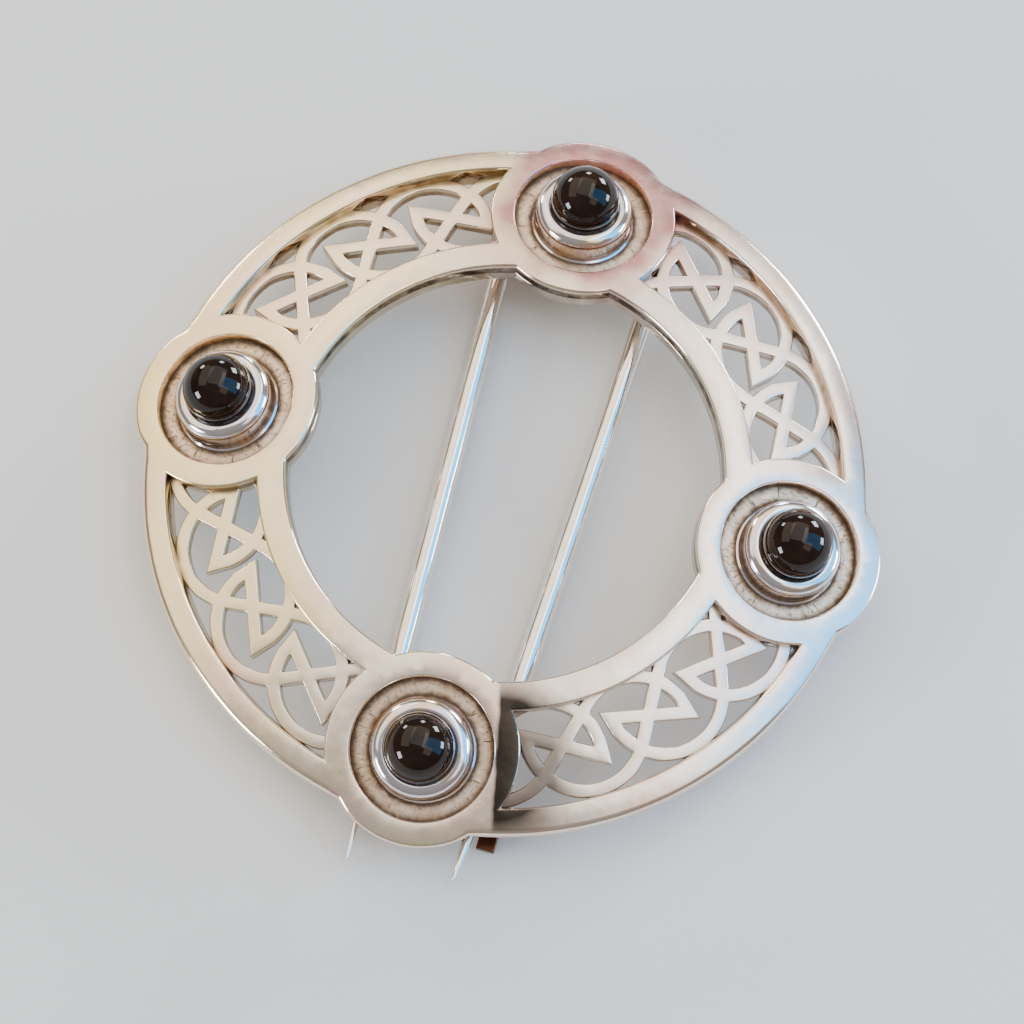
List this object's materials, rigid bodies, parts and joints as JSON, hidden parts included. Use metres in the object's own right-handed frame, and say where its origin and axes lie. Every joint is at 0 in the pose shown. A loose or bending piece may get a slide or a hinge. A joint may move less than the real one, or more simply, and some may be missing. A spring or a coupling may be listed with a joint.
{
  "type": "celtic brooch",
  "caption": "Round openwork brooch: a domed ring with knotwork panels and raised cabochon settings, fastened by a hinged double pin behind it.",
  "frame": {"origin": "on the ring's axis, in the plane that the brooch rests on", "axes": "+Z along the ring's axis, out of the face; +Y towards the setting that hides the hinge; the pins point along -Y"},
  "size_m": [0.0676, 0.0694, 0.0119],
  "materials": {
    "silver_body": "satin-polished silver with brown patina in the recesses",
    "silver_pin": "polished silver",
    "stone": "polished near-black brown cabochon"
  },
  "bodies": {
    "brooch": {"frame": "silver_body", "stone_east": "stone", "stone_north": "stone", "stone_west": "stone", "stone_south": "stone"},
    "pin": {"double_pin": "silver_pin"}
  },
  "joints": [
    {"name": "pin_hinge", "type": "hinge", "parent": "brooch", "child": "pin", "pos_m": [0.0007, 0.026, 0.00175], "axis": [1, 0, 0], "range_deg": [0, 90]}
  ]
}
